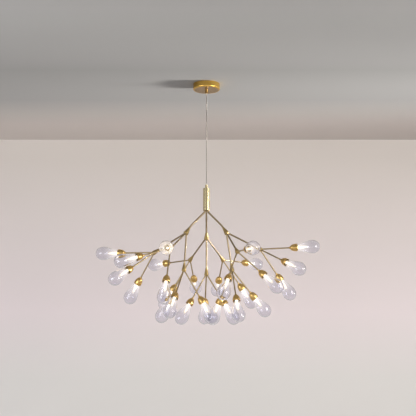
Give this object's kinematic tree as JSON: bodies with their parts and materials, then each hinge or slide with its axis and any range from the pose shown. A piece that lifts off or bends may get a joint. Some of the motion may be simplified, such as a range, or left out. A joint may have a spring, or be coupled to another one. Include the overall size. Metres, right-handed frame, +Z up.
{
  "type": "branching pendant chandelier",
  "caption": "Brass pendant chandelier: a round canopy and cable carry a hub tube whose forked arms branch twice, each twig ending in a lamp cup with a clear teardrop shade.",
  "frame": {"origin": "in the ceiling plane, midway between the two ceiling screw slots and over the middle of the canopy", "axes": "+Z up into the ceiling; +Y along the back arm, away from the viewer; +X to the viewer's right"},
  "size_m": [0.9758, 0.8876, 1.0771],
  "materials": {
    "polished_brass": "polished",
    "aged_brass": "aged, satin",
    "satin_brass": "satin",
    "warm_brass": "polished, warm",
    "zinc_plated_steel": "zinc plated",
    "white_plastic": "matt",
    "ivory_plastic": "matt",
    "grey_cable": "matt sheath",
    "lamp_ceramic": "lit",
    "clear_glass": "clear"
  },
  "bodies": {
    "ceiling": {"mounting_bracket": "zinc_plated_steel", "canopy": "polished_brass", "led_driver": "white_plastic", "terminal_block": "ivory_plastic", "threaded_nipple": "zinc_plated_steel", "nipple_nuts": "zinc_plated_steel", "canopy_grip": "polished_brass"},
    "swivel": {"swivel_ball": "zinc_plated_steel"},
    "cable": {"suspension_cable": "grey_cable", "cable_stop": "zinc_plated_steel"},
    "hub": {"hub_grip": "polished_brass", "hub_cap": "polished_brass", "hub_tube": "polished_brass", "hub_base": "polished_brass", "wire_connector": "ivory_plastic", "main_arm_back": "aged_brass", "main_arm_left": "aged_brass", "main_arm_right": "aged_brass", "main_fork_back": "satin_brass", "main_fork_left": "satin_brass", "main_fork_right": "satin_brass", "branch_arms_back": "aged_brass", "branch_arms_left": "aged_brass", "branch_arms_right": "aged_brass"},
    "cluster_back_lower": {"lamp_fork_back_lower": "satin_brass", "lamp_cups_back_lower": "warm_brass", "lamps_back_lower": "lamp_ceramic", "glass_shades_back_lower": "clear_glass"},
    "cluster_back_left": {"lamp_fork_back_left": "satin_brass", "lamp_cups_back_left": "warm_brass", "lamps_back_left": "lamp_ceramic", "glass_shades_back_left": "clear_glass"},
    "cluster_back_right": {"lamp_fork_back_right": "satin_brass", "lamp_cups_back_right": "warm_brass", "lamps_back_right": "lamp_ceramic", "glass_shades_back_right": "clear_glass"},
    "cluster_left_lower": {"lamp_fork_left_lower": "satin_brass", "lamp_cups_left_lower": "warm_brass", "lamps_left_lower": "lamp_ceramic", "glass_shades_left_lower": "clear_glass"},
    "cluster_left_front": {"lamp_fork_left_front": "satin_brass", "lamp_cups_left_front": "warm_brass", "lamps_left_front": "lamp_ceramic", "glass_shades_left_front": "clear_glass"},
    "cluster_left_outer": {"lamp_fork_left_outer": "satin_brass", "lamp_cups_left_outer": "warm_brass", "lamps_left_outer": "lamp_ceramic", "glass_shades_left_outer": "clear_glass"},
    "cluster_right_lower": {"lamp_fork_right_lower": "satin_brass", "lamp_cups_right_lower": "warm_brass", "lamps_right_lower": "lamp_ceramic", "glass_shades_right_lower": "clear_glass"},
    "cluster_right_outer": {"lamp_fork_right_outer": "satin_brass", "lamp_cups_right_outer": "warm_brass", "lamps_right_outer": "lamp_ceramic", "glass_shades_right_outer": "clear_glass"},
    "cluster_right_front": {"lamp_fork_right_front": "satin_brass", "lamp_cups_right_front": "warm_brass", "lamps_right_front": "lamp_ceramic", "glass_shades_right_front": "clear_glass"}
  },
  "joints": [
    {"name": "swing_left_right", "type": "hinge", "parent": "ceiling", "child": "swivel", "pos_m": [0, 0, -0.0367], "axis": [0, 1, 0], "range_deg": [-15, 15]},
    {"name": "swing_front_back", "type": "hinge", "parent": "swivel", "child": "cable", "pos_m": [0, 0, -0.0367], "axis": [1, 0, 0], "range_deg": [-15, 15]},
    {"name": "hub_twist", "type": "hinge", "parent": "cable", "child": "hub", "pos_m": [0, 0, -0.489], "axis": [0, 0, 1], "range_deg": [-180, 180]},
    {"name": "turn_back_lower", "type": "hinge", "parent": "hub", "child": "cluster_back_lower", "pos_m": [0, 0.11101, -0.84468], "axis": [0, 0.0698, -0.9976], "range_deg": [-4, 4]},
    {"name": "turn_back_left", "type": "hinge", "parent": "hub", "child": "cluster_back_left", "pos_m": [-0.0748, 0.21583, -0.76853], "axis": [-0.4589, 0.7128, -0.5303], "range_deg": [-90, 90]},
    {"name": "turn_back_right", "type": "hinge", "parent": "hub", "child": "cluster_back_right", "pos_m": [0.0748, 0.21583, -0.76853], "axis": [0.4589, 0.7128, -0.5303], "range_deg": [-90, 90]},
    {"name": "turn_left_lower", "type": "hinge", "parent": "hub", "child": "cluster_left_lower", "pos_m": [-0.09614, -0.0555, -0.84468], "axis": [-0.0604, -0.0349, -0.9976], "range_deg": [-4, 4]},
    {"name": "turn_left_front", "type": "hinge", "parent": "hub", "child": "cluster_left_front", "pos_m": [-0.14951, -0.1727, -0.76853], "axis": [-0.3879, -0.7539, -0.5303], "range_deg": [-90, 90]},
    {"name": "turn_left_outer", "type": "hinge", "parent": "hub", "child": "cluster_left_outer", "pos_m": [-0.22432, -0.04313, -0.76853], "axis": [-0.8468, 0.041, -0.5303], "range_deg": [-90, 90]},
    {"name": "turn_right_lower", "type": "hinge", "parent": "hub", "child": "cluster_right_lower", "pos_m": [0.11038, -0.03624, -0.84272], "axis": [0.1478, 0.0833, -0.9855], "range_deg": [-4, 4]},
    {"name": "turn_right_outer", "type": "hinge", "parent": "hub", "child": "cluster_right_outer", "pos_m": [0.23019, -0.06361, -0.75739], "axis": [0.8828, -0.0846, -0.462], "range_deg": [-90, 90]},
    {"name": "turn_right_front", "type": "hinge", "parent": "hub", "child": "cluster_right_front", "pos_m": [0.12939, -0.17148, -0.78163], "axis": [0.2644, -0.7464, -0.6107], "range_deg": [-90, 90]}
  ]
}
